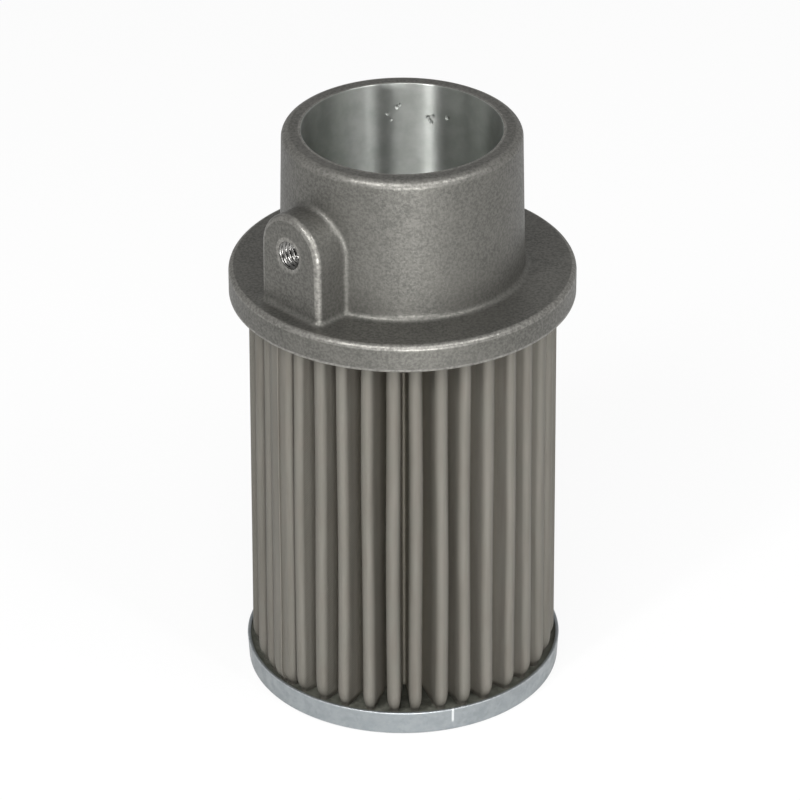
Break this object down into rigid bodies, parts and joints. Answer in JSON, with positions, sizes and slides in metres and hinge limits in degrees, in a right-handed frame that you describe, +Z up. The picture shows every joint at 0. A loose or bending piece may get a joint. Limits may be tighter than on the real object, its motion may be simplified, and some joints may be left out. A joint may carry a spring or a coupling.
{
  "type": "hydraulic filter",
  "caption": "Hydraulic suction filter: a cast collar and flange with a tapped lug, over a cylinder of pleated wire cloth on a pierced core tube, closed by a pressed bottom cap",
  "frame": {"origin": "centre of the bottom cap's underside, on the axis of the pipe bore", "axes": "+Z up along the bore, out of the mouth that the pipe enters; the picture looks along +Y from -Y, with the tapped lug at 137 degrees clockwise from +X seen from above"},
  "size_m": [0.0846, 0.0846, 0.1479],
  "materials": {
    "cast_aluminium": "as die-cast, matt; bore turned bright",
    "wire_cloth": "fine plain weave, folded",
    "pierced_steel": "galvanised, satin",
    "galvanised_steel": "galvanised, satin, faintly mottled",
    "potting_resin": "cured epoxy, dark"
  },
  "bodies": {
    "root": {"head_casting": "cast_aluminium", "pleated_screen": "wire_cloth", "core_tube": "pierced_steel", "bottom_cap": "galvanised_steel", "upper_resin": "potting_resin", "lower_resin": "potting_resin"}
  },
  "joints": []
}
